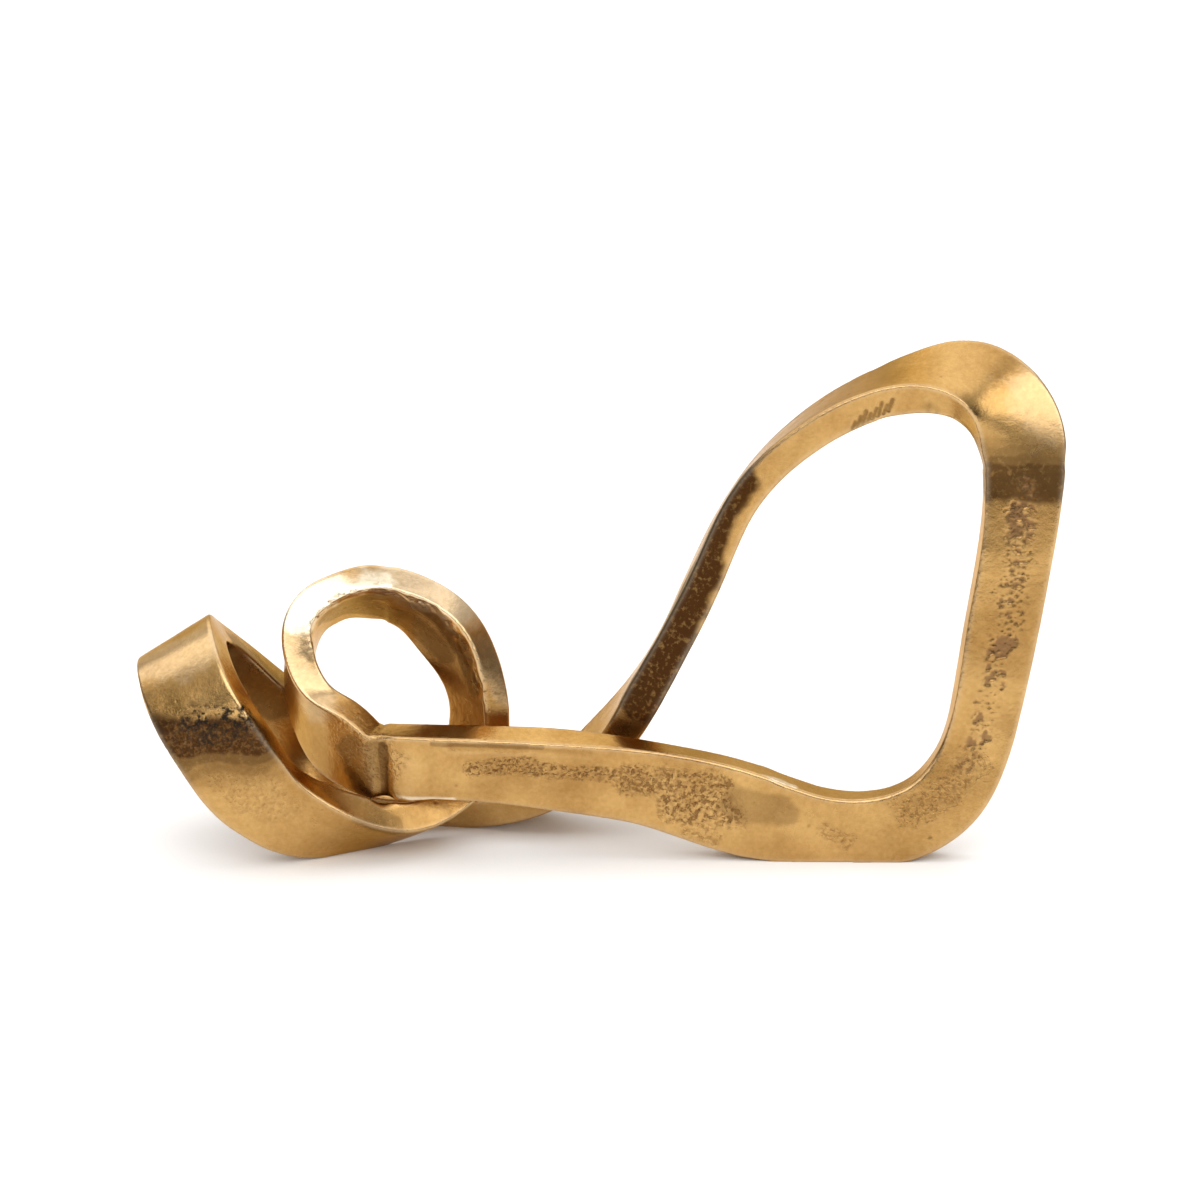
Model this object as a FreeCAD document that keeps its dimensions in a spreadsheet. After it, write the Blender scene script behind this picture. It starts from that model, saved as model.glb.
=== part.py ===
import FreeCAD, Part
import math
import os
import Sketcher

# A knot sculpture: one endless metal band, cast in nine bends that are welded end to end.
# Millimetres, +Z up, origin on the table under the middle of the sculpture. +X runs along the
# sculpture from the small ring to the big loop, and the front bar lies on the -Y side.

Vector = FreeCAD.Vector

DIMENSIONS = {
    "band_width": 34.0,       # wide side of the band's section
    "band_thickness": 14.0,   # narrow side of the band's section
    "edge_round": 1.2,        # radius on the four long edges
    "root_round": 0.8,        # radius on the edges of the land at the bottom of a weld groove
    "groove_half": 2.5,       # from the middle of a weld to its edge, along the band
    "groove_depth": 3.0,      # depth of the weld groove on each side of the section
    "crease_sink": 0.6,       # how far the weld at the crease lies below the castings
    "section_gap": 9.0,       # largest distance between two sections of a casting
    "ground_depth": 6.0,      # height of what is ground off where the band rests on the table
    "ground_reach": 400.0,    # half the side of the square that is ground, larger than the sculpture
    "shift_x": 0.9,           # moves the middle of the sculpture to the origin, along its length
    "shift_y": -24.6,         # the same, from front to back
}

# The stations of the band, casting by casting, in the order in which the band runs. The first
# station of each casting is at the weld with the casting before it. A station holds the middle
# of the section, the direction that one narrow edge of the band faces there (the front bar's top
# edge, followed all the way round), and the width and thickness over their nominal sizes.
STATIONS = {
    # from the crease beside the ring, along the front, falling towards the foot
    "front_bar": [
        (-93, 2, 43, (0, -0.1, 1), 0.91, 1.0),
        (-55, -3, 44, (0, -0.2, 1), 0.91, 1.0),
        (-16, -1, 40, (0.1, -0.2, 1), 1.0, 1.02),
        (22, 1, 33, (0.2, 0, 1), 1.02, 1.0),
    ],
    # along the flat foot, round the outer corner and up the right-hand side
    "foot_bend": [
        (60, 1, 22, (0.3, 0, 1), 1.14, 1.0),
        (93, 0, 14, (0.2, 0, 1), 0.95, 1.0),
        (127, 1, 14, (-0.3, 0.1, 1), 0.92, 1.0),
        (147, 2, 25, (-0.7, 0.1, 0.7), 0.91, 1.0),
        (160, 4, 46, (-0.9, 0.1, 0.4), 0.86, 1.0),
        (166, 6, 71, (-1, 0, 0.2), 0.85, 1.0),
        (171, 9, 101, (-1, 0, 0.1), 0.9, 1.0),
        (176, 12, 133, (-1, 0, 0.1), 0.91, 1.0),
    ],
    # over the top, where the wide face turns up and the edge turns to the front
    "crown_bend": [
        (179, 16, 166, (-1, 0, 0), 0.99, 1.0),
        (175, 19, 189, (-0.9, -0.2, -0.4), 1.07, 1.0),
        (158, 23, 205, (-0.4, -0.7, -0.6), 1.03, 1.0),
        (135, 26, 205, (-0.1, -1, -0.2), 1.03, 1.0),
    ],
    # the diagonal that comes down behind, edge to the front
    "rear_strut": [
        (113, 29, 197, (-0.1, -1, 0), 1.03, 0.96),
        (86, 33, 179, (-0.2, -1, 0), 1.03, 0.94),
        (64, 36, 154, (-0.2, -1, 0), 1.03, 0.96),
        (49, 37, 124, (-0.1, -1, 0), 1.03, 1.0),
        (36, 37, 94, (-0.1, -1, 0.1), 1.03, 1.06),
    ],
    # down to the table behind the front bar, then back up under and behind the ring
    "under_pass": [
        (21, 37, 65, (-0.1, -1, 0.1), 1.03, 1.15),
        (3, 37, 40, (0, -1, 0), 1.03, 1.08),
        (-19, 40, 20, (-0.1, -1, 0), 1.01, 1.0),
        (-46, 47, 8, (-0.2, -1, 0), 0.98, 0.96),
        (-75, 52, 8, (-0.2, -1, -0.1), 0.98, 0.96),
        (-104, 53, 18, (-0.3, -0.8, -0.5), 1.0, 0.98),
    ],
    # up behind, over the top on the left and down in front
    "side_loop": [
        (-129, 53, 34, (-0.6, -0.2, -0.8), 1.0, 1.0),
        (-147, 50, 49, (-0.7, 0.1, -0.7), 1.0, 1.0),
        (-164, 44, 66, (-0.7, 0, -0.7), 1.01, 1.0),
        (-176, 31, 81, (-0.75, -0.1, -0.6), 1.03, 1.0),
        (-179, 10, 89, (-0.85, 0, -0.5), 1.09, 1.04),
        (-172, -8, 75, (-0.85, 0.1, -0.5), 1.15, 1.04),
        (-160, -13, 55, (-0.85, 0.1, -0.5), 1.17, 1.0),
        (-147, -11, 35, (-0.8, 0, -0.6), 1.11, 1.0),
    ],
    # the low curve in front of the under-pass, then up behind the front bar
    "cradle": [
        (-129, -7, 21, (-0.4, 0.2, -0.9), 1.0, 1.0),
        (-107, -1, 15, (-0.3, 0.6, -0.7), 0.91, 0.98),
        (-86, 7, 13, (-0.4, 0.8, -0.5), 0.85, 0.97),
        (-67, 18, 19, (-0.3, 0.9, -0.4), 0.85, 0.97),
        (-55, 27, 37, (-0.5, 0.9, -0.1), 0.95, 0.95),
    ],
    # right-hand wall and top of the small ring
    "ring_arch": [
        (-53, 31, 59, (-0.5, 0.8, -0.1), 0.98, 0.9),
        (-59, 32, 79, (-0.6, 0.7, -0.4), 0.97, 0.86),
        (-71, 34, 96, (-0.5, 0.6, -0.6), 0.98, 0.85),
    ],
    # left-hand wall of the small ring, turning forward into the crease
    "ring_cheek": [
        (-88, 37, 106, (-0.1, 0.7, -0.7), 0.99, 0.84),
        (-108, 38, 107, (0, 0.8, -0.6), 0.99, 0.86),
        (-126, 34, 98, (0.1, 0.9, -0.4), 1.0, 0.95),
        (-130, 28, 79, (-0.1, 0.9, -0.3), 0.99, 0.95),
        (-124, 20, 61, (-0.3, 0.7, -0.6), 0.97, 0.93),
        (-111, 11, 49, (-0.3, 0.3, -0.9), 1.0, 1.0),
    ],
}

# each weld is named after the place where the casting after it begins
WELDS = {
    "weld_crease": "front_bar",
    "weld_foot": "foot_bend",
    "weld_upright": "crown_bend",
    "weld_crown": "rear_strut",
    "weld_rear": "under_pass",
    "weld_back": "side_loop",
    "weld_side": "cradle",
    "weld_wall": "ring_arch",
    "weld_arch": "ring_cheek",
}

# the pieces that are ground flat where they rest on the table
GROUND = ("front_bar", "weld_foot", "foot_bend", "under_pass", "cradle")


def make_sheet(doc):
    """The spreadsheet of driving dimensions."""
    sheet = doc.addObject("Spreadsheet::Sheet", "Dimensions")
    for row, (alias, value) in enumerate(DIMENSIONS.items(), start=1):
        sheet.set(f"A{row}", alias)
        sheet.set(f"B{row}", str(value))
        sheet.setAlias(f"B{row}", alias)
    doc.recompute()
    return sheet


class Path:
    """The band's middle line, the line of its edge and its thickness, over the same stops."""

    def __init__(self, sheet):
        shift = Vector(sheet.shift_x, sheet.shift_y, 0)
        stations = [station for run in STATIONS.values() for station in run]
        middles = [Vector(*station[:3]) + shift for station in stations]
        reaches = [
            Vector(*edge).normalize() * (sheet.band_width * wide / 2)
            for _, _, _, edge, wide, _ in stations
        ]
        self.nominal_width = sheet.band_width
        self.thickness = [station[5] for station in stations]
        self.stops = [0.0]
        for here, there in zip(middles, middles[1:] + middles[:1]):
            self.stops.append(self.stops[-1] + here.distanceToPoint(there))
        self.length = self.stops[-1]
        self.middle = closed_curve(middles, self.stops)
        # the band has a half twist, so its edge comes back to itself only after two laps
        first_lap = [middle + reach for middle, reach in zip(middles, reaches)]
        second_lap = [middle - reach for middle, reach in zip(middles, reaches)]
        two_laps = self.stops + [self.length + stop for stop in self.stops[1:]]
        self.edge = closed_curve(first_lap + second_lap, two_laps)
        counts = [len(run) for run in STATIONS.values()]
        self.start = {name: self.stops[sum(counts[:i])] for i, name in enumerate(STATIONS)}

    def span(self, name):
        """Where a casting starts and ends along the band."""
        names = list(STATIONS)
        following = names[(names.index(name) + 1) % len(names)]
        end = self.start[following]
        if end <= self.start[name]:
            end += self.length
        return self.start[name], end

    def across(self, at):
        """The direction along the band, and the step from its middle to its edge."""
        laps, lap = divmod(at, self.length)
        along = self.middle.tangent(lap)[0]
        reach = (self.edge.value(lap) - self.middle.value(lap)) * (-1) ** laps
        return along, reach - along * reach.dot(along)

    def frame(self, at):
        """Placement of a section: local x to the edge, local y to a wide face, z along the band."""
        along, reach = self.across(at)
        edge = reach.normalize()
        turn = FreeCAD.Rotation(edge, along.cross(edge), along, "ZXY")
        return FreeCAD.Placement(self.middle.value(at % self.length), turn)

    def ratios(self, at):
        """Width and thickness at a place, over their nominal sizes."""
        wide = 2 * self.across(at)[1].Length / self.nominal_width
        lap = at % self.length
        index = max(i for i, stop in enumerate(self.stops[:-1]) if stop <= lap)
        share = (lap - self.stops[index]) / (self.stops[index + 1] - self.stops[index])
        ease = (1 - math.cos(math.pi * share)) / 2
        here = self.thickness[index]
        there = self.thickness[(index + 1) % len(self.thickness)]
        return wide, here + (there - here) * ease


def closed_curve(values, stops):
    """A smooth closed curve through the values at the given stops."""
    curve = Part.BSplineCurve()
    curve.interpolate(Points=values, PeriodicFlag=True, Parameters=stops)
    return curve


def origin_plane(body, role):
    """One of a body's own origin planes."""
    return [feature for feature in body.Origin.OriginFeatures if feature.Role == role][0]


def rounded_section(body, name, placement, size, inset, corner):
    """A rounded rectangle across the band, its sizes bound to the sheet.

    size is the width and thickness over their nominal sizes, inset the name of the dimension
    that is taken off all round (or None), and corner the name of the corner radius.
    """
    sheet = body.Document.Dimensions
    trim = 2 * sheet.get(inset) if inset else 0.0
    trim_text = f" - 2 * Dimensions.{inset}" if inset else ""
    wide = sheet.band_width * size[0] - trim
    thick = sheet.band_thickness * size[1] - trim
    radius = sheet.get(corner)
    sketch = body.newObject("Sketcher::SketchObject", name)
    sketch.AttachmentSupport = [(origin_plane(body, "XY_Plane"), "")]
    sketch.MapMode = "FlatFace"
    sketch.AttachmentOffset = placement

    # four sides and four corner arcs, anticlockwise from the lower side
    inner_x = wide / 2 - radius
    inner_y = thick / 2 - radius
    geometry = []
    for turn in range(4):
        flip = turn % 2
        reach = (inner_y, inner_x)[flip]
        half = (thick, wide)[flip] / 2
        spin = FreeCAD.Rotation(Vector(0, 0, 1), 90 * turn)
        start = spin.multVec(Vector(-(inner_x, inner_y)[flip], -half, 0))
        end = spin.multVec(Vector((inner_x, inner_y)[flip], -half, 0))
        centre = spin.multVec(Vector((inner_x, inner_y)[flip], -reach, 0))
        first = math.radians(90 * turn - 90)
        circle = Part.Circle(centre, Vector(0, 0, 1), radius)
        geometry.append(Part.LineSegment(start, end))
        geometry.append(Part.ArcOfCircle(circle, first, first + math.pi / 2))
    sketch.addGeometry(geometry, False)

    rules = [Sketcher.Constraint("Tangent", i, 2, (i + 1) % 8, 1) for i in range(8)]
    rules += [Sketcher.Constraint("Horizontal", i) for i in (0, 4)]
    rules += [Sketcher.Constraint("Vertical", i) for i in (2, 6)]
    rules += [Sketcher.Constraint("Equal", 1, i) for i in (3, 5, 7)]
    rules.append(Sketcher.Constraint("Symmetric", 0, 1, 4, 1, -1, 1))
    sketch.addConstraint(rules)
    bound = {
        "corner": (Sketcher.Constraint("Radius", 1, radius), f"Dimensions.{corner}"),
        "wide": (
            Sketcher.Constraint("DistanceX", 6, 1, 2, 1, wide),
            f"Dimensions.band_width * {size[0]:.4f}{trim_text}",
        ),
        "thick": (
            Sketcher.Constraint("DistanceY", 0, 1, 4, 1, thick),
            f"Dimensions.band_thickness * {size[1]:.4f}{trim_text}",
        ),
    }
    for label, (rule, expression) in bound.items():
        index = sketch.addConstraint(rule)
        sketch.renameConstraint(index, label)
        sketch.setExpression(f"Constraints.{label}", expression)
    return sketch


def loft(body, name, sections, kind="PartDesign::AdditiveLoft", ruled=False):
    """A loft feature through sketches of the body."""
    feature = body.newObject(kind, name)
    feature.Profile = sections[0]
    feature.Sections = sections[1:]
    feature.Ruled = ruled
    return feature


def surface_section(body, path, name, at, inset=None):
    """The full section of the band at a place."""
    return rounded_section(body, name, path.frame(at), path.ratios(at), inset, "edge_round")


def root_section(body, path, name, at):
    """The land at the bottom of a weld groove, where two castings meet."""
    return rounded_section(body, name, path.frame(at), path.ratios(at), "groove_depth", "root_round")


def grind_flat(body):
    """Cut away what lies below the table."""
    sheet = body.Document.Dimensions
    sketch = body.newObject("Sketcher::SketchObject", body.Name + "_ground")
    sketch.AttachmentSupport = [(origin_plane(body, "XY_Plane"), "")]
    sketch.MapMode = "FlatFace"
    corners = [
        Vector(x * sheet.ground_reach, y * sheet.ground_reach, 0)
        for x, y in ((-1, -1), (1, -1), (1, 1), (-1, 1))
    ]
    for here, there in zip(corners, corners[1:] + corners[:1]):
        sketch.addGeometry(Part.LineSegment(here, there), False)
    cut = body.newObject("PartDesign::Pocket", body.Name + "_cut")
    cut.Profile = sketch
    cut.Type = "Length"
    cut.setExpression("Length", "Dimensions.ground_depth")
    return cut


def make_casting(doc, path, name):
    """One casting: a smooth loft with a bevelled nose at each end, down to the root land."""
    sheet = doc.Dimensions
    body = doc.addObject("PartDesign::Body", name)
    body.Label = name
    start, end = path.span(name)
    first = start + sheet.groove_half
    last = end - sheet.groove_half
    count = math.ceil((last - first) / sheet.section_gap)
    places = [first + (last - first) * i / count for i in range(count + 1)]
    sections = [surface_section(body, path, f"{name}_s{i}", at) for i, at in enumerate(places)]
    loft(body, f"{name}_band", sections)
    for side, at, section in (("start", start, sections[0]), ("end", end, sections[-1])):
        root = root_section(body, path, f"{name}_{side}_root", at)
        loft(body, f"{name}_{side}_nose", [section, root], ruled=True)
    if name in GROUND:
        grind_flat(body)
    return body


def make_weld(doc, path, name, after):
    """The ring of filler in the groove between two castings, dressed flush."""
    sheet = doc.Dimensions
    body = doc.addObject("PartDesign::Body", name)
    body.Label = name
    middle = path.start[after]
    if middle < sheet.groove_half:
        middle += path.length
    sink = "crease_sink" if name == "weld_crease" else None
    before = surface_section(body, path, f"{name}_before", middle - sheet.groove_half)
    centre = surface_section(body, path, f"{name}_centre", middle, sink)
    beyond = surface_section(body, path, f"{name}_beyond", middle + sheet.groove_half)
    root = root_section(body, path, f"{name}_root", middle)
    loft(body, f"{name}_fill", [before, centre, beyond], ruled=bool(sink))
    doc.recompute()
    for side, section in (("first", before), ("second", beyond)):
        loft(body, f"{name}_{side}_land", [section, root], "PartDesign::SubtractiveLoft", ruled=True)
    if name in GROUND:
        grind_flat(body)
    return body


def check(doc, bodies):
    """Stop if a feature failed, or if a shape is null, invalid or not one solid."""
    for item in doc.Objects:
        for state in item.State:
            if state in ("Invalid", "Error"):
                raise RuntimeError(f"{item.Name} is {state}")
    for body in bodies:
        shape = body.Shape
        if shape.isNull() or not shape.isValid() or len(shape.Solids) != 1:
            raise RuntimeError(f"{body.Label} has no single valid solid")


def main():
    doc = FreeCAD.newDocument("KnotSculpture")
    sheet = make_sheet(doc)
    path = Path(sheet)
    bodies = [make_casting(doc, path, name) for name in STATIONS]
    bodies += [make_weld(doc, path, name, after) for name, after in WELDS.items()]
    doc.recompute()
    check(doc, bodies)
    os.makedirs("parts", exist_ok=True)
    whole = FreeCAD.BoundBox()
    for body in bodies:
        body.Shape.exportStep(os.path.join("parts", body.Label + ".step"))
        whole.add(body.Shape.optimalBoundingBox())
        print(f"{body.Label}: {body.Shape.Volume / 1000:.2f} cm3")
    print(f"size {whole.XLength:.1f} x {whole.YLength:.1f} x {whole.ZLength:.1f}")
    print(f"from {whole.XMin:.2f} {whole.YMin:.2f} {whole.ZMin:.2f}")
    print(f"to {whole.XMax:.2f} {whole.YMax:.2f} {whole.ZMax:.2f}")


main()
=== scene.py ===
import math

import bmesh
import bpy
import numpy as np
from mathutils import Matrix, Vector
from mathutils.bvhtree import BVHTree


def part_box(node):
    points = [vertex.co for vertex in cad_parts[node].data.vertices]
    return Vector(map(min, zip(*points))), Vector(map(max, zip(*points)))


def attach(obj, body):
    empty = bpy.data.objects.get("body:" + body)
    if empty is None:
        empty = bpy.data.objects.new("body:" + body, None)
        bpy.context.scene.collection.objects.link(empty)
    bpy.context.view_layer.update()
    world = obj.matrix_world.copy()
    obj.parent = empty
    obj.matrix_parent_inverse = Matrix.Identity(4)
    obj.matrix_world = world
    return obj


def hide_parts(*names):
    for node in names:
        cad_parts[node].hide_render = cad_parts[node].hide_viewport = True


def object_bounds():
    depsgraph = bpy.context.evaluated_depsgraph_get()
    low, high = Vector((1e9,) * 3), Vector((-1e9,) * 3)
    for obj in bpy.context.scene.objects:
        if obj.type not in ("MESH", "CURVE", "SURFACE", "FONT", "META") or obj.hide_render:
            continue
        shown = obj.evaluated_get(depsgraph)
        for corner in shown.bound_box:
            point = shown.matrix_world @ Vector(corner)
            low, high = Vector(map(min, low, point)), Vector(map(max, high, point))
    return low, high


# The knot sculpture's looks. The castings and welds of the frame are remeshed together as one
# dressed surface, which is then dented, pitted and worn, and cut up again into one closed piece
# for each casting and weld, so that no seam shows where they were ground flush.

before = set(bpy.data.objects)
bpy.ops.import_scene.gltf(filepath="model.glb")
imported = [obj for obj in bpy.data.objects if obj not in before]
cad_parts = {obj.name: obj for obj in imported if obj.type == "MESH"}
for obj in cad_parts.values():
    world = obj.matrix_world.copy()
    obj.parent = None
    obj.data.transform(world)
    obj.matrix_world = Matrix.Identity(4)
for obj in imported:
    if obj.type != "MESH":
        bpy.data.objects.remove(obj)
cad_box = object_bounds()

MM = 0.001
VOXEL = 0.55 * MM         # grain of the remeshed surface
SMOOTHING = 3             # rounds of smoothing that take out the remesh's steps
CAP_DEPTH = 0.4 * MM      # the hidden end of a piece is dished, so that no two ends coincide
EDGE_MARGIN = 0.02 * MM   # the surface stays this far inside the CAD box

CASTING_SLOT = "antique_gold_casting"
WELD_SLOT = "antique_gold_weld"
SLOT_WARMTH = {CASTING_SLOT: 0.0, WELD_SLOT: 0.15}


# ---------------------------------------------------------------- noise on points

def lattice_hash(cells, seed):
    """A repeatable number from 0 to 1 for each whole-number cell (n x 3)."""
    cells = cells.astype(np.int64)
    mixed = seed * 2654435761
    for axis, prime in enumerate((73856093, 19349663, 83492791)):
        mixed = mixed ^ cells[:, axis] * prime
    mixed = (mixed ^ (mixed >> 13)) * 1274126177
    mixed = (mixed ^ (mixed >> 16)) & 0xFFFFFF
    return mixed / float(0xFFFFFF)


def value_noise(points, size, seed):
    """Smooth noise from -1 to 1 with features of about the given size."""
    scaled = points / size
    base = np.floor(scaled)
    share = scaled - base
    ease = share ** 3 * (share * (share * 6 - 15) + 10)
    total = np.zeros(len(points))
    for corner in np.ndindex(2, 2, 2):
        corner = np.array(corner)
        weight = np.prod(np.where(corner, ease, 1 - ease), axis=1)
        total += weight * lattice_hash(base + corner, seed)
    return total * 2 - 1


def layered_noise(points, size, seed, layers=3, fall=0.5):
    """Several sizes of noise added up, each half the size of the one before."""
    total = np.zeros(len(points))
    for layer in range(layers):
        total += fall ** layer * value_noise(points, size / 2 ** layer, seed + layer)
    return total / sum(fall ** layer for layer in range(layers))


def pits(points, spacing, seed, share=0.6, radius=0.42):
    """Round pits scattered over a grid of cells: 1 at the middle of a pit, 0 outside."""
    scaled = points / spacing
    base = np.floor(scaled)
    depth = np.zeros(len(points))
    for step in np.ndindex(3, 3, 3):
        cell = base + np.array(step) - 1
        middle = cell + np.stack([lattice_hash(cell, seed + axis) for axis in (1, 2, 3)], axis=1)
        size = radius * (0.45 + 0.55 * lattice_hash(cell, seed + 4))
        here = lattice_hash(cell, seed + 5) < share
        reach = np.linalg.norm(scaled - middle, axis=1) / size
        bowl = np.clip(1 - reach ** 2, 0, 1)
        depth = np.maximum(depth, np.where(here, bowl, 0))
    return depth


def smooth_step(low, high, value):
    """0 below low, 1 above high, eased between them."""
    share = np.clip((value - low) / (high - low), 0, 1)
    return share * share * (3 - 2 * share)


# ---------------------------------------------------------------- the one surface

def joined_copy():
    """One mesh of all CAD nodes, and the node that each of its faces comes from."""
    vertices, faces, owners = [], [], []
    for name, node in sorted(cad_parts.items()):
        first = len(vertices)
        vertices += [vertex.co.copy() for vertex in node.data.vertices]
        faces += [[first + index for index in face.vertices] for face in node.data.polygons]
        owners += [name] * len(node.data.polygons)
    mesh = bpy.data.meshes.new("joined")
    mesh.from_pydata(vertices, [], faces)
    return mesh, owners, BVHTree.FromPolygons(vertices, faces)


def evaluated(holder):
    """The mesh that an object's modifiers give."""
    graph = bpy.context.evaluated_depsgraph_get()
    return bpy.data.meshes.new_from_object(holder.evaluated_get(graph), depsgraph=graph)


def remeshed(mesh):
    """A fine, even, closed skin around the joined mesh."""
    holder = bpy.data.objects.new("skin_work", mesh)
    bpy.context.scene.collection.objects.link(holder)
    skin = holder.modifiers.new("skin", "REMESH")
    skin.mode = "VOXEL"
    skin.voxel_size = VOXEL
    smooth = holder.modifiers.new("smooth", "SMOOTH")
    smooth.factor = 0.5
    smooth.iterations = SMOOTHING
    result = evaluated(holder)
    bpy.data.objects.remove(holder)
    return result


def read_points(mesh, normals=False):
    """The mesh's vertices, or their normals, as an n x 3 array."""
    values = np.zeros(len(mesh.vertices) * 3, np.float32)
    if normals:
        mesh.vertex_normals.foreach_get("vector", values)
    else:
        mesh.vertices.foreach_get("co", values)
    return values.reshape(-1, 3).astype(float)


def write_points(mesh, points):
    mesh.vertices.foreach_set("co", points.astype(np.float32).ravel())
    mesh.update()


def place(node, along_x, along_y, along_z):
    """A point given as shares of a node's box."""
    low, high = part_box(node)
    shares = (along_x, along_y, along_z)
    return np.array([low[axis] + (high[axis] - low[axis]) * shares[axis] for axis in range(3)])


# ---------------------------------------------------------------- cutting up into pieces

def owners_of_faces(mesh, names, tree):
    """For each face of the skin, the CAD node whose surface it lies on."""
    order = {name: index for index, name in enumerate(sorted(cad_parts))}
    centres = np.zeros(len(mesh.polygons) * 3, np.float32)
    mesh.polygons.foreach_get("center", centres)
    found = [tree.find_nearest(Vector(centre))[2] for centre in centres.reshape(-1, 3)]
    return np.array([order[names[index]] for index in found])


def tidied(mesh, labels, rounds=6):
    """Straighten the borders between the pieces, and drop the islands along them."""
    sides = np.zeros(len(mesh.loops), np.int32)
    mesh.loops.foreach_get("edge_index", sides)
    faces = np.repeat(np.arange(len(mesh.polygons)), 4)
    order = np.argsort(sides, kind="stable")
    pairs = faces[order].reshape(-1, 2)
    neighbours = np.concatenate([pairs, pairs[:, ::-1]])
    neighbours = neighbours[np.argsort(neighbours[:, 0], kind="stable"), 1].reshape(-1, 4)
    for _ in range(rounds):
        around = labels[neighbours]
        votes = (around[:, :, None] == around[:, None, :]).sum(axis=2)
        votes += (around == labels[:, None])
        best = around[np.arange(len(labels)), votes.argmax(axis=1)]
        own = (around == labels[:, None]).sum(axis=1)
        labels = np.where(own <= 1, best, labels)
    return labels


def boundary_loops(bm):
    """Closed rings of edges that have only one face."""
    open_edges = {edge for edge in bm.edges if len(edge.link_faces) == 1}
    loops = []
    while open_edges:
        edge = open_edges.pop()
        loop = [edge.verts[0], edge.verts[1]]
        while loop[-1] is not loop[0]:
            step = next(e for e in loop[-1].link_edges if e in open_edges)
            open_edges.discard(step)
            loop.append(step.other_vert(loop[-1]))
        loops.append(loop[:-1])
    return loops


def cap(bm, loop):
    """Close a ring of open edges with a shallow dish that stays inside the piece."""
    centre = sum((vertex.co for vertex in loop), Vector()) / len(loop)
    beside = [face.calc_center_median() for vertex in loop for face in vertex.link_faces]
    inside = sum(beside, Vector()) / len(beside)
    tip = bm.verts.new(centre + (inside - centre).normalized() * CAP_DEPTH)
    for here, there in zip(loop, loop[1:] + loop[:1]):
        shared = bm.edges.get((here, there)).link_faces[0]
        corners = list(shared.verts)
        forward = corners[(corners.index(here) + 1) % len(corners)] is there
        bm.faces.new((there, here, tip) if forward else (here, there, tip))


def cut_piece(mesh, name, faces, layers):
    """A closed piece of the skin, with its part of the vertex layers and the skin's normals."""
    quads = [list(mesh.polygons[index].vertices) for index in faces]
    used = sorted({vertex for quad in quads for vertex in quad})
    renumber = {vertex: count for count, vertex in enumerate(used)}
    points = read_points(mesh)
    part = bpy.data.meshes.new(name + "_skin")
    part.from_pydata(points[used].tolist(), [], [[renumber[v] for v in quad] for quad in quads])
    bm = bmesh.new()
    bm.from_mesh(part)
    for loop in boundary_loops(bm):
        cap(bm, loop)
    bm.to_mesh(part)
    bm.free()
    part.update()
    added = len(part.vertices) - len(used)
    for label, values in layers.items():
        layer = part.attributes.new(label, "FLOAT", "POINT")
        layer.data.foreach_set("value", np.append(values[used], np.zeros(added)).astype(np.float32))
    part.polygons.foreach_set("use_smooth", np.ones(len(part.polygons), bool))
    own = read_points(part, normals=True)
    own[: len(used)] = read_points(mesh, normals=True)[used]
    part.normals_split_custom_set_from_vertices(own.tolist())
    piece = bpy.data.objects.new(name + "_skin", part)
    bpy.context.scene.collection.objects.link(piece)
    return piece


# ---------------------------------------------------------------- marks on the surface

# Each mark is a line of points, given as shares of a node's box, with a half width in millimetres
# and a strength.

def fading(node, line, half_width, strength, drift, widening=0.0, steps=4):
    """A mark and fainter ones beside it, each moved further up or down the box and widened."""
    marks = []
    for count in range(steps):
        rise = drift * count
        moved = tuple((along_x, along_y, along_z + rise) for along_x, along_y, along_z in line)
        marks.append((node, moved, half_width + widening * count, strength * (1 - count / steps)))
    return tuple(marks)


# Rough and pitted, as the sand of the mould left it.
CAST_ROUGH = (
    ("front_bar", ((0.68, 0.3, 0.60), (0.90, 0.3, 0.53)), 8.5, 1.0),
    ("front_bar", ((0.80, 0.3, 0.40), (0.92, 0.3, 0.33)), 9.5, 1.0),
    ("front_bar", ((0.84, 0.3, 0.18), (0.90, 0.3, 0.14)), 5.5, 0.5),
    ("front_bar", ((0.26, 0.1, 0.72), (0.38, 0.1, 0.735),
                   (0.49, 0.2, 0.68), (0.62, 0.2, 0.64)), 4.5, 1.0),
    ("foot_bend", ((0.75, 0.14, 0.27), (0.66, 0.10, 0.19), (0.55, 0.08, 0.13)), 7, 0.6),
    ("foot_bend", ((0.29, 0.01, 0.09), (0.36, 0.01, 0.06)), 4, 0.5),
    ("side_loop", ((0.26, 0.05, 0.55), (0.42, 0.03, 0.62), (0.62, 0.0, 0.58)), 9, 0.7),
    ("side_loop", ((0.50, 0.05, 0.40), (0.75, 0.05, 0.24)), 12, 0.3),
    ("ring_cheek", ((0.55, 0.05, 0.25), (0.85, 0.0, 0.20)), 12, 0.35),
    ("foot_bend", ((0.13, 0.49, 0.10), (0.38, 0.49, 0.09), (0.62, 0.50, 0.11)), 7, 0.7),
    ("rear_strut", ((0.25, 0.98, 0.24), (0.37, 0.98, 0.49)), 7, 0.7),
    ("under_pass", ((0.79, 0.70, 0.51), (0.92, 0.69, 0.80)), 7, 0.6),
    ("side_loop", ((0.41, 0.89, 0.55), (0.60, 0.96, 0.35)), 9, 0.6),
)
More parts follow.
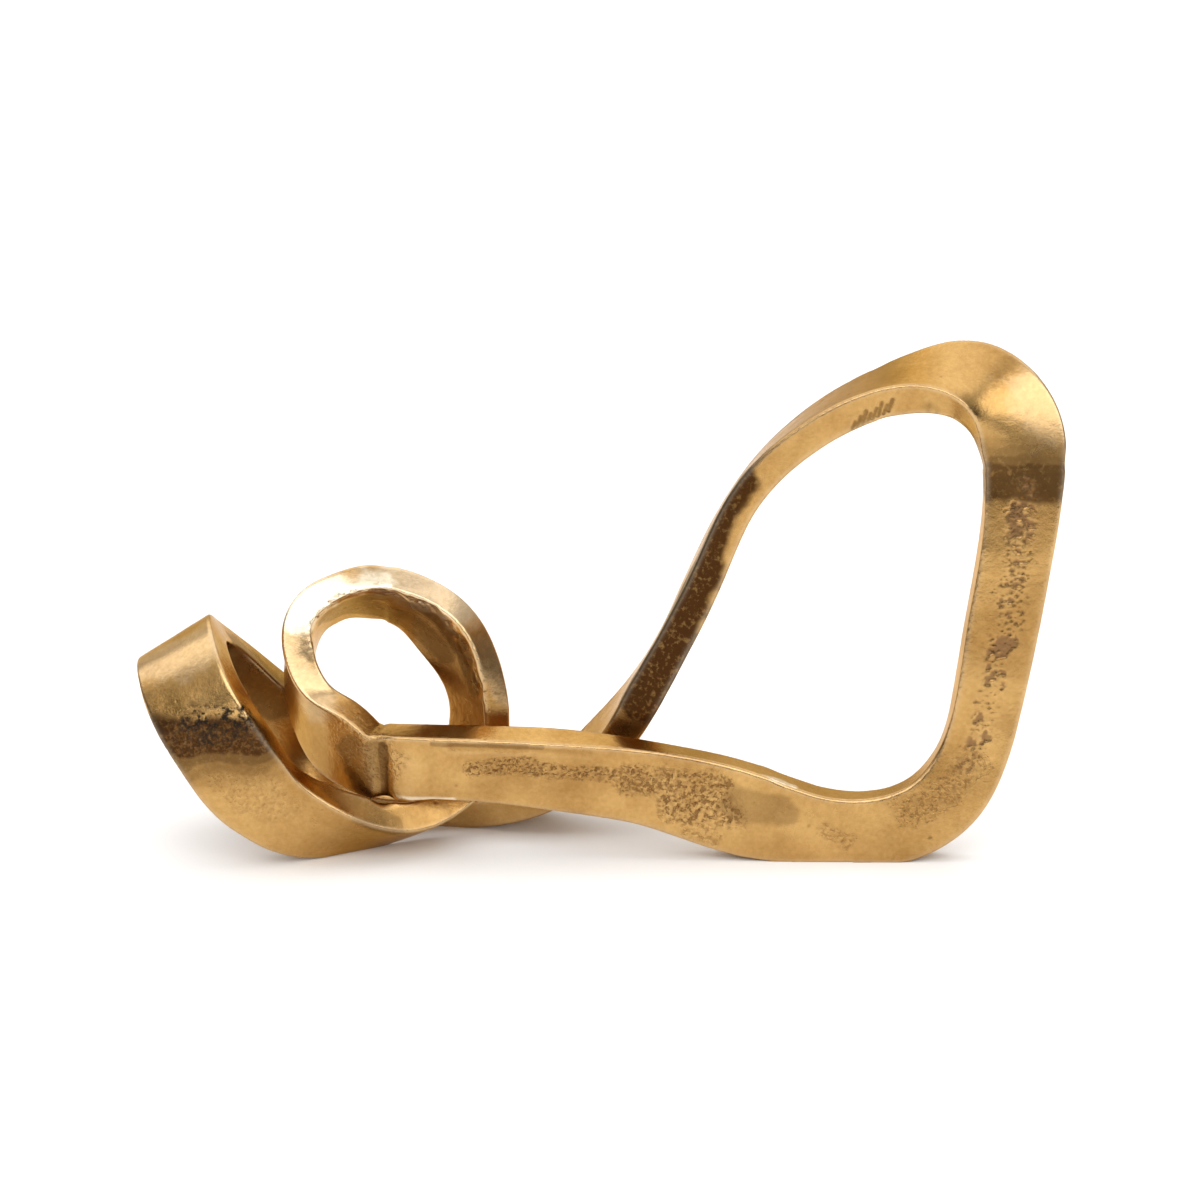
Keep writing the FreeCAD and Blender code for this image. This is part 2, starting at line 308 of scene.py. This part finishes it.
# Where the skin of the casting has come away in flakes.
FLAKED = (
    ("foot_bend", ((0.88, 0.49, 0.97), (0.87, 0.43, 0.83),
                   (0.85, 0.35, 0.69), (0.82, 0.29, 0.56)), 7.5, 1.0),
    ("foot_bend", ((0.82, 0.29, 0.56), (0.78, 0.21, 0.43), (0.74, 0.14, 0.27)), 5.5, 0.95),
    ("foot_bend", ((0.74, 0.14, 0.27), (0.64, 0.10, 0.19)), 5.0, 0.7),
    ("foot_bend", ((0.85, 0.71, 0.48), (0.88, 0.84, 0.72), (0.91, 0.94, 0.90)), 5.5, 0.9),
)
# Sooty.
BURNT = (
    ("side_loop", ((0.32, 0.04, 0.63), (0.46, 0.02, 0.67), (0.62, 0.0, 0.68)), 7.5, 1.0),
    ("side_loop", ((0.40, 0.03, 0.58), (0.52, 0.02, 0.60)), 7.5, 0.8),
)
# Brown with tarnish, and painted shade: the same brown also paints shade on faces turned from the
# light, and dark reflections on faces that look at dark surroundings.
TARNISH_AND_SHADE_MARKS = (
    *fading("side_loop", ((0.13, 0.15, 0.57), (0.26, 0.05, 0.54),
                          (0.45, 0.03, 0.58), (0.68, 0.0, 0.56)),
            9.0, 1.0, drift=-0.025, widening=2.4),
    # painted dark reflection: the strut's faces darkened where they look at dark surroundings
    ("rear_strut", ((0.05, 0.2, 0.02), (0.13, 0.2, 0.15),
                    (0.20, 0.2, 0.34), (0.27, 0.2, 0.45)), 13, 1.0),
    ("rear_strut", ((0.27, 0.2, 0.45), (0.33, 0.2, 0.60), (0.42, 0.17, 0.74)), 11, 1.0),
    ("rear_strut", ((0.42, 0.17, 0.74), (0.52, 0.17, 0.84)), 6, 0.6),
    ("under_pass", ((0.90, 0.02, 0.80), (1.00, 0.02, 1.00)), 9, 0.6),
    ("under_pass", ((0.40, 0.94, 0.30), (0.60, 0.70, 0.35)), 7, 0.5),
    ("rear_strut", ((0.50, 0.96, 0.70), (0.71, 0.89, 0.86)), 9, 0.4),
    ("side_loop", ((0.22, 0.75, 0.70), (0.41, 0.89, 0.55)), 10, 0.25),
    ("foot_bend", ((0.83, 0.57, 0.20), (0.85, 0.62, 0.34)), 9, 0.4),
    # painted dark reflection: a band along the bottom of the crown bend, sharp below and fading
    # upwards
    *fading("crown_bend", ((0.58, 0.1, 0.01), (0.80, 0.1, 0.01), (1.00, 0.1, 0.01)),
            9.5, 0.88, drift=0.065, steps=5),
    # painted shade: the crown's face that is turned away from the light, darkened
    ("crown_bend", ((0.30, 0.3, 0.60), (0.42, 0.4, 0.55),
                    (0.52, 0.45, 0.38), (0.60, 0.5, 0.05)), 8.5, 0.75),
    ("ring_arch", ((0.26, 0.3, 0.80), (0.43, 0.25, 0.68),
                   (0.64, 0.22, 0.44), (0.72, 0.2, 0.2)), 5, 0.6),
    # painted shade on the small ring's inner face
    ("ring_cheek", ((0.36, 0.55, 0.76), (0.55, 0.6, 0.86), (0.95, 0.6, 0.88)), 5, 0.5),
    ("ring_cheek", ((0.45, 0.66, 0.76), (0.62, 0.70, 0.79), (0.90, 0.76, 0.75)), 8, 0.5),
    ("ring_arch", ((0.05, 0.58, 0.64), (0.25, 0.50, 0.58), (0.45, 0.45, 0.40)), 7, 0.4),
    ("foot_bend", ((0.02, 0.1, 0.16), (0.16, 0.1, 0.14)), 8, 0.35),
    # painted shade in the weld's crease
    ("weld_crease", ((0.10, 0.1, 0.70), (0.15, 0.12, 0.40), (0.15, 0.15, 0.0)), 6, 0.5),
    ("weld_crease", ((0.45, 0.0, 0.80), (0.50, 0.12, 0.40), (0.50, 0.15, 0.05)), 2.5, 0.8),
    # painted shadow under the bar's overhanging top edge
    ("front_bar", ((0.15, 0.09, 0.92), (0.29, 0.02, 0.915), (0.44, 0.04, 0.895)), 1.4, 0.45),
    # painted shade on the side loop's inner face
    ("side_loop", ((0.50, 0.66, 0.78), (0.60, 0.72, 0.66), (0.71, 0.76, 0.50)), 9, 0.55),
    ("cradle", ((0.15, 0.2, 0.60), (0.23, 0.14, 0.54),
                (0.35, 0.07, 0.41), (0.48, 0.10, 0.30)), 6, 0.5),
    ("cradle", ((0.48, 0.10, 0.32), (0.70, 0.27, 0.33)), 6, 0.25),
    ("ring_cheek", ((0.61, 0.09, 0.22), (0.72, 0.06, 0.06)), 8, 0.45),
    ("front_bar", ((0.10, 0.2, 0.44), (0.22, 0.2, 0.43)), 1.2, 0.5),
)
# Rubbed pale, and painted highlights: the pale colour is laid mostly where the light falls
# brightest, on the small ring's rims, the crown and the loop's top.
POLISH_AND_HIGHLIGHT_MARKS = (
    ("ring_cheek", ((0.30, 0.2, 0.44), (0.08, 0.3, 0.61), (0.18, 0.4, 0.80)), 12, 0.25),
    ("ring_cheek", ((0.18, 0.4, 0.80), (0.43, 0.4, 0.95), (0.9, 0.4, 0.98)), 9.5, 1.0),
    ("ring_arch", ((0.0, 0.3, 0.95), (0.4, 0.3, 0.85), (0.65, 0.3, 0.7)), 9, 0.45),
    ("ring_arch", ((0.80, 0.15, 0.50), (0.95, 0.15, 0.20)), 8, 0.15),
    ("crown_bend", ((0.85, 0.3, 0.62), (0.98, 0.3, 0.50)), 15, 0.15),
    ("side_loop", ((0.02, 0.3, 0.84), (0.36, 0.2, 0.93)), 13, 0.2),
    ("foot_bend", ((0.10, 0.1, 0.25), (0.20, 0.1, 0.21)), 2.5, 0.9),
    ("front_bar", ((0.04, 0.3, 0.46), (0.12, 0.3, 0.44), (0.20, 0.3, 0.44)), 1.6, 0.8),
)
# The small ring's inner rim, left ragged.
JAGGED = (
    ("ring_cheek", ((0.24, 0.35, 0.62), (0.33, 0.39, 0.80),
                    (0.55, 0.44, 0.89), (0.95, 0.45, 0.90)), 4.5, 1.0),
    ("ring_arch", ((0.10, 0.2, 0.87), (0.43, 0.18, 0.74),
                   (0.64, 0.15, 0.50), (0.74, 0.1, 0.22)), 4.5, 1.0),
)
FILE_STROKES = 8
# The weld in the crease, run smooth.
SOFTENED = (
    ("weld_crease", ((0.40, 0.02, 0.80), (0.43, 0.12, 0.40), (0.43, 0.15, 0.10)), 6, 1.0),
)
# Shallow hollows. Here the strength is the depth in millimetres.
SINKS = (
    ("front_bar", ((0.20, 0.06, 0.90), (0.29, 0.02, 0.90), (0.40, 0.03, 0.885)), 3.0, 0.75),
    ("front_bar", ((0.40, 0.03, 0.885), (0.57, 0.15, 0.83)), 2.6, 0.4),
    ("front_bar", ((0.33, 0.2, 0.50), (0.49, 0.3, 0.47), (0.61, 0.3, 0.51)), 9.0, 0.45),
    ("weld_crease", ((0.45, 0.02, 0.75), (0.45, 0.12, 0.40), (0.45, 0.15, 0.05)), 4.5, 0.7),
)
# Swellings. Here the strength is the height in millimetres.
BULGES = (
    ("front_bar", ((0.085, 0.25, 0.72), (0.085, 0.25, 0.54)), 10, 2.1),
)


def file_strokes():
    """The strokes of a coarse file under the crown, each a short slanting mark."""
    strokes = []
    for count in range(FILE_STROKES):
        low = np.array((0.895 + 0.021 * count, 0.004 - 0.006 * count, 0.895 + 0.0095 * count))
        lean = np.array((0.014, 0.0, 0.026 + 0.008 * (count % 3)))
        strokes.append(("rear_strut", (low, low + lean), 1.0, 1.0))
    return strokes


def marked(points, marks, seed, ragged=0.5, flat=0.55):
    """How strongly each point lies under the marks: full out to the flat share of the half width,
    then falling off to a ragged border."""
    total = np.zeros(len(points))
    border = 1 + ragged * layered_noise(points, 7 * MM, seed)
    for node, shares, half_width, strength in marks:
        line = [place(node, *share) for share in shares]
        distance = np.full(len(points), np.inf)
        for start, stop in zip(line, line[1:] or line):
            step = stop - start
            length = max(step @ step, 1e-12)
            along = np.clip((points - start) @ step / length, 0, 1)
            nearest = start + along[:, None] * step
            distance = np.minimum(distance, np.linalg.norm(points - nearest, axis=1))
        reach = distance / (half_width * MM) * border
        total = np.maximum(total, strength * (1 - smooth_step(flat, 1.15, reach)))
    return total


# The relief of the skin. Each kind has a height and a size across, both in millimetres.
WAVES = (0.30, 45)        # left by dressing by hand, all over
RIPPLES = (0.10, 13)      # smaller ones, all over
CAST_GRAIN = (0.06, 2.4)  # in the rough patches
RIM_WAVES = (1.4, 10)     # along the small ring's ragged inner edge
RIM_CHIPS = (0.5, 3.2)    # broken out of the same edge
FLAKES = (0.22, 2.4)      # where the skin of the casting has come away
CLUSTERS = 8              # size of the groups that the flakes lie in
COARSE_PITS = 2.3         # spacing of the pits in a rough patch
FINE_PITS = 1.6
STRAY_PITS = 6.5          # spacing of the single pits all over
PIT_DEPTH = 0.42
STRAY_DEPTH = 0.15
FILE_DEPTH = 0.25
RELAXING = 90             # rounds of smoothing where the marks of SOFTENED lie
GROUND_LEVEL = 0.4 * MM   # below this the downward faces were ground flat and stay flat
EDGE_GAIN = 4.0           # turns sharpness into how worn an edge is


def edge_ends(mesh):
    """The two vertices of each edge."""
    ends = np.zeros(len(mesh.edges) * 2, np.int32)
    mesh.edges.foreach_get("vertices", ends)
    return ends.reshape(-1, 2)


def spread(ends, values, rounds):
    """Average each point's value with its neighbours' a number of times."""
    count = np.bincount(ends.ravel(), minlength=len(values))
    for _ in range(rounds):
        total = np.bincount(ends[:, 0], values[ends[:, 1]], len(values))
        total += np.bincount(ends[:, 1], values[ends[:, 0]], len(values))
        values = (values + total) / (count + 1)
    return values


def sharpness(mesh, points, normals):
    """Above 0 on outer edges and below 0 in hollows."""
    ends = edge_ends(mesh)
    first, second = ends.T
    step = points[second] - points[first]
    length = np.linalg.norm(step, axis=1)
    bend = np.einsum("ij,ij->i", step, normals[second] - normals[first]) / length ** 2
    total = np.bincount(first, bend, len(points)) + np.bincount(second, bend, len(points))
    count = np.bincount(ends.ravel(), minlength=len(points))
    return spread(ends, total / count, 4) * MM


def relaxed(mesh, points, share, rounds):
    """Points drawn towards their neighbours' average, as far as each one's share says."""
    ends = edge_ends(mesh)
    ends = ends[(share[ends] > 0).any(axis=1)]
    touched, local = np.unique(ends, return_inverse=True)
    local = local.reshape(-1, 2)
    near = points[touched]
    pull = share[touched, None]
    for _ in range(rounds):
        average = np.stack([spread(local, near[:, axis], 1) for axis in range(3)], axis=1)
        near = near + (average - near) * pull
    points = points.copy()
    points[touched] = near
    return points


def relief(points, kind, seed, **settings):
    """Noise of one kind of relief's height and size."""
    height, size = kind
    return height * layered_noise(points, size * MM, seed, **settings)


def flaked_skin(points, flaked):
    """1 where the casting's skin has come away in clustered flakes, 0 elsewhere."""
    clusters = 0.45 * value_noise(points, CLUSTERS * MM, 20) + 0.6 * (flaked - 1.0)
    size = FLAKES[1] * MM
    return flaked * smooth_step(0.05, 0.30, layered_noise(points, size, 16) + clusters)


def cast_pits(points, rough, flaked):
    """The pits crowded into the rough and flaked patches."""
    pitted = (rough + flaked) > 0
    pitting = np.zeros(len(points))
    pitting[pitted] = np.maximum(pits(points[pitted], COARSE_PITS * MM, 21, share=0.85),
                                 pits(points[pitted], FINE_PITS * MM, 31, share=0.6))
    return pitting * np.maximum(rough, 0.5 * flaked)


def dress(mesh):
    """Dent, pit and mark the skin, and return the vertex layers that the finish uses."""
    points = read_points(mesh)
    softened = marked(points, SOFTENED, 61, ragged=0.1, flat=0.3)
    write_points(mesh, relaxed(mesh, points, softened, RELAXING))
    points = read_points(mesh)
    normals = read_points(mesh, normals=True)
    grounded = (points[:, 2] < GROUND_LEVEL) & (normals[:, 2] < -0.5)
    rough = marked(points, CAST_ROUGH, 11)
    flaked = marked(points, FLAKED, 15)
    flakes = flaked_skin(points, flaked)
    jagged = marked(points, JAGGED, 17, ragged=0.2, flat=0.0)
    pitting = cast_pits(points, rough, flaked)
    stray = pits(points, STRAY_PITS * MM, 41, share=0.25, radius=0.16)
    filed = marked(points, file_strokes(), 22, ragged=0.3)

    height = relief(points, WAVES, 1)
    height += relief(points, RIPPLES, 5)
    height += rough * relief(points, CAST_GRAIN, 8, layers=2)
    height += jagged * relief(points, RIM_WAVES, 18)
    chips = smooth_step(0.0, 0.4, layered_noise(points, RIM_CHIPS[1] * MM, 19))
    height -= RIM_CHIPS[0] * jagged ** 2 * chips
    height -= FLAKES[0] * flakes
    height -= FILE_DEPTH * filed
    height -= PIT_DEPTH * pitting + STRAY_DEPTH * stray
    height -= marked(points, SINKS, 51, ragged=0.15, flat=0.0)
    height += marked(points, BULGES, 52, ragged=0.15, flat=0.0)
    height[grounded] = 0
    moved = points + normals * (height * MM)[:, None]
    low, high = (np.array(corner) for corner in cad_box)
    moved = np.clip(moved, low + EDGE_MARGIN, high - EDGE_MARGIN)
    write_points(mesh, moved)
    edges = EDGE_GAIN * sharpness(mesh, moved, read_points(mesh, normals=True))
    # tarnish, and painted shade and painted dark reflections
    tarnish_and_shade = marked(points, TARNISH_AND_SHADE_MARKS, 13, ragged=0.3, flat=0.72)
    return {
        "pitted": np.clip(pitting + 0.6 * stray, 0, 1),
        "rough": rough,
        "flaked": flakes,
        "burnt": marked(points, BURNT, 12),
        "tarnish_and_shade": np.maximum(tarnish_and_shade, 0.55 * filed),
        # rubbed pale, and painted highlights
        "polish_and_highlight": marked(points, POLISH_AND_HIGHLIGHT_MARKS, 14),
        "worn": np.clip(edges, 0, 1),
        "hollow": np.clip(-edges, 0, 1),
    }


# ---------------------------------------------------------------- node trees

def add(tree, kind, sockets=None, **settings):
    """A new shader node, its inputs given as values or as other nodes' outputs."""
    made = tree.nodes.new(kind)
    for label, value in settings.items():
        setattr(made, label, value)
    for label, value in (sockets or {}).items():
        if isinstance(value, bpy.types.NodeSocket):
            tree.links.new(value, made.inputs[label])
        else:
            made.inputs[label].default_value = value
    return made


def noise(tree, where, scale, detail=4.0, roughness=0.55):
    """Noise with about so many features to the metre."""
    sockets = {"Vector": where, "Scale": scale, "Detail": detail, "Roughness": roughness}
    return add(tree, "ShaderNodeTexNoise", sockets).outputs["Fac"]


def stretch(tree, value, low, high, new_low=0.0, new_high=1.0):
    """A value mapped from one range to another, and kept inside it."""
    sockets = {"Value": value, "From Min": low, "From Max": high,
               "To Min": new_low, "To Max": new_high}
    return add(tree, "ShaderNodeMapRange", sockets).outputs["Result"]


def maths(tree, operation, first, second):
    """One operation on two values, or on the outputs of other nodes."""
    made = add(tree, "ShaderNodeMath", operation=operation)
    for socket, value in zip(made.inputs, (first, second)):
        if isinstance(value, bpy.types.NodeSocket):
            tree.links.new(value, socket)
        else:
            socket.default_value = value
    return made.outputs[0]


def blend(tree, share, first, second):
    """A colour between two colours."""
    made = add(tree, "ShaderNodeMix", data_type="RGBA")
    for index, value in ((0, share), (6, first), (7, second)):
        if isinstance(value, bpy.types.NodeSocket):
            tree.links.new(value, made.inputs[index])
        else:
            made.inputs[index].default_value = value if index == 0 else (*value, 1.0)
    return made.outputs[2]


def layer(tree, label, share=1.0):
    """One of the skin's vertex layers, weakened to a share or by another node's output."""
    whole = add(tree, "ShaderNodeAttribute", attribute_name=label).outputs["Fac"]
    return maths(tree, "MULTIPLY", whole, share)


def bumped(tree, height, strength, distance, under=None, invert=False):
    """A bump laid over the one under it."""
    sockets = {"Height": height, "Strength": strength, "Distance": distance * MM}
    if under is not None:
        sockets["Normal"] = under
    return add(tree, "ShaderNodeBump", sockets, invert=invert).outputs["Normal"]


def new_material(name):
    material = bpy.data.materials.new(name)
    material.use_nodes = True
    tree = material.node_tree
    tree.nodes.clear()
    shader = add(tree, "ShaderNodeBsdfPrincipled")
    output = add(tree, "ShaderNodeOutputMaterial")
    tree.links.new(shader.outputs["BSDF"], output.inputs["Surface"])
    return material, tree, shader


# ---------------------------------------------------------------- finishes

GOLD_DEEP = (0.41, 0.225, 0.069)
GOLD_LIGHT = (0.60, 0.365, 0.130)
# pale of rubbed gold; on the polish layer it also paints highlights
GOLD_PALE = (0.95, 0.84, 0.64)
BROWN = (0.20, 0.095, 0.030)
# brown of tarnish, also used for painted shade and painted dark reflections
TARNISH_AND_SHADE_BROWN = (0.062, 0.025, 0.007)
FLAKE = (0.19, 0.10, 0.05)
SOOT = (0.028, 0.020, 0.015)
GLANCING_TINT = (0.88, 0.69, 0.46)  # keeps the sheen along a turned-away edge golden

# How many features of each kind there are to the metre.
PATCHES = 28
CLOUDS = 75
SOOT_SPOTS = 330
FINE = 420
MOTTLE = 520
GRIT = 640
GRAIN = 1300


def antique_gold(name, warmth):
    """Rubbed antique gold over cast aluminium. Warmth lifts it from the deep to the light gold."""
    material, tree, shader = new_material(name)
    where = add(tree, "ShaderNodeTexCoord").outputs["Object"]
    fine = stretch(tree, noise(tree, where, FINE, 6, 0.65), 0.40, 0.66)
    grit = layer(tree, "rough", stretch(tree, noise(tree, where, GRIT, 2.5, 0.6), 0.50, 0.62))
    soot_spots = stretch(tree, noise(tree, where, SOOT_SPOTS, 5, 0.7), 0.45, 0.58)
    tarnish_and_shade = layer(tree, "tarnish_and_shade", stretch(tree, fine, 0.45, 1.0, 1.0, 0.72))
    burnt = layer(tree, "burnt", soot_spots)
    pitted = maths(tree, "MAXIMUM", layer(tree, "pitted"), grit)
    specks = maths(tree, "MULTIPLY", fine, stretch(tree, layer(tree, "rough"), 0, 1, 0.12, 0.55))

    patches = stretch(tree, noise(tree, where, PATCHES), 0.35, 0.65, warmth, 1.0)
    mottle = stretch(tree, noise(tree, where, MOTTLE, 4, 0.7), 0.32, 0.68, -0.22, 0.22)
    light = add(tree, "ShaderNodeMath", {0: patches, 1: mottle}, operation="ADD", use_clamp=True)
    colour = blend(tree, light.outputs[0], GOLD_DEEP, GOLD_LIGHT)
    coats = (
        (specks, BROWN),
        # the tarnish layer also paints shade and dark reflections
        (tarnish_and_shade, TARNISH_AND_SHADE_BROWN),
        (layer(tree, "flaked", 0.75), FLAKE),
        (maths(tree, "MULTIPLY", pitted, 0.8), BROWN),
        (layer(tree, "hollow", 0.7), BROWN),
        (layer(tree, "worn", 0.12), GOLD_PALE),
        # the polish layer also paints highlights pale
        (layer(tree, "polish_and_highlight", stretch(tree, fine, 0, 1, 0.95, 0.7)), GOLD_PALE),
        (burnt, SOOT),
    )
    for share, paint in coats:
        colour = blend(tree, share, colour, paint)
    tree.links.new(colour, shader.inputs["Base Color"])
    shader.inputs["Metallic"].default_value = 1.0
    shader.inputs["Specular Tint"].default_value = (*GLANCING_TINT, 1.0)

    dull = stretch(tree, noise(tree, where, CLOUDS, 5), 0.3, 0.7, 0.17, 0.28)
    for share, extra in ((layer(tree, "rough"), 0.10), (burnt, 0.20), (tarnish_and_shade, 0.12)):
        dull = maths(tree, "ADD", dull, maths(tree, "MULTIPLY", share, extra))
    tree.links.new(dull, shader.inputs["Roughness"])

    tiny = bumped(tree, noise(tree, where, GRAIN, 4, 0.7), 0.12, 0.3)
    soft = bumped(tree, fine, 0.07, 0.5, under=tiny)
    gritty = bumped(tree, grit, 0.7, 0.5, under=soft, invert=True)
    tree.links.new(gritty, shader.inputs["Normal"])
    return material


def floor_finish():
    """Pale paper, faintly cloudy."""
    material, tree, shader = new_material("pale_floor")
    where = add(tree, "ShaderNodeTexCoord").outputs["Object"]
    paper = stretch(tree, noise(tree, where, 6, 3), 0.3, 0.7, 0.86, 0.88)
    colour = add(tree, "ShaderNodeCombineColor", {"Red": paper, "Green": paper, "Blue": paper})
    tree.links.new(colour.outputs["Color"], shader.inputs["Base Color"])
    shader.inputs["Roughness"].default_value = 0.9
    shader.inputs["Specular IOR Level"].default_value = 0.0
    return material


# ---------------------------------------------------------------- stage

def make_floor():
    """A square of pale floor, as far as the eye can see from close by."""
    half = 8.0
    mesh = bpy.data.meshes.new("floor")
    mesh.from_pydata([(-half, -half, 0), (half, -half, 0), (half, half, 0), (-half, half, 0)], [],
                     [(0, 1, 2, 3)])
    mesh.materials.append(floor_finish())
    floor = bpy.data.objects.new("floor", mesh)
    bpy.context.scene.collection.objects.link(floor)


def softbox(name, place_at, aim_at, width, depth, power):
    """A rectangular lamp, in metres and watts."""
    light = bpy.data.lights.new(name, "AREA")
    light.shape = "RECTANGLE"
    light.size = width
    light.size_y = depth
    light.energy = power
    lamp = bpy.data.objects.new(name, light)
    lamp.location = place_at
    lamp.rotation_euler = (Vector(aim_at) - Vector(place_at)).to_track_quat("-Z", "Y").to_euler()
    bpy.context.scene.collection.objects.link(lamp)
    return lamp


def make_world():
    """A dark room with a pale wall behind the sculpture, and lighter overhead."""
    world = bpy.data.worlds.new("room")
    world.use_nodes = True
    tree = world.node_tree
    tree.nodes.clear()
    where = add(tree, "ShaderNodeTexCoord").outputs["Generated"]
    direction = add(tree, "ShaderNodeSeparateXYZ", {"Vector": where}).outputs
    above = stretch(tree, direction["Z"], 0.15, 0.75, 0.06, 0.80)
    behind = stretch(tree, direction["Y"], 0.10, 0.70, 0.0, 0.85)
    strength = maths(tree, "MAXIMUM", above, behind)
    sockets = {"Color": (1.0, 0.985, 0.965, 1.0), "Strength": strength}
    back = add(tree, "ShaderNodeBackground", sockets)
    output = add(tree, "ShaderNodeOutputWorld")
    tree.links.new(back.outputs["Background"], output.inputs["Surface"])
    bpy.context.scene.world = world


CAMERA_PITCH = math.radians(18)
CAMERA_DISTANCE = 1.6
AIM_OFFSET = Vector((0.9, 0.8, -2.2)) * MM  # from the middle of the box to where the camera aims


def make_camera():
    """Looks down from in front, with the sculpture just above the frame's middle."""
    low, high = (Vector(corner) for corner in cad_box)
    target = (low + high) / 2 + AIM_OFFSET
    pitch = CAMERA_PITCH
    lens = bpy.data.cameras.new("camera")
    lens.sensor_width = 36
    lens.lens = 111.6
    camera = bpy.data.objects.new("camera", lens)
    camera.location = target + Vector((0, -math.cos(pitch), math.sin(pitch))) * CAMERA_DISTANCE
    camera.rotation_euler = (math.radians(90) - pitch, 0, 0)
    bpy.context.scene.collection.objects.link(camera)
    bpy.context.scene.camera = camera


# ---------------------------------------------------------------- build

def build():
    joined, face_names, surface_tree = joined_copy()
    skin = remeshed(joined)
    owner = tidied(skin, owners_of_faces(skin, face_names, surface_tree))
    layers = dress(skin)
    finishes = {slot: antique_gold(slot, warmth) for slot, warmth in SLOT_WARMTH.items()}
    for number, node in enumerate(sorted(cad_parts)):
        piece = cut_piece(skin, node, np.flatnonzero(owner == number), layers)
        slot = WELD_SLOT if node.startswith("weld") else CASTING_SLOT
        piece.data.materials.append(finishes[slot])
        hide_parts(node)
        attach(piece, "root")


build()
make_floor()
make_world()
softbox("overhead_softbox", place_at=(0, 1.4, 1.9), aim_at=(0, 1.4, 0),
        width=3.4, depth=4.0, power=30)
softbox("front_softbox", place_at=(0.9, -1.95, 1.4), aim_at=(0.9, 0, 0.1),
        width=5.6, depth=1.9, power=60)
softbox("left_softbox", place_at=(-1.9, 0.1, 1.45), aim_at=(0, 0, 0.1),
        width=1.4, depth=0.9, power=4)
floor_fill = softbox("floor_fill", place_at=(0, 0.4, 2.6), aim_at=(0, 0.4, 0),
                     width=4.0, depth=4.0, power=28)
floor_fill.visible_glossy = False
make_camera()
bpy.context.scene.view_settings.view_transform = "Standard"
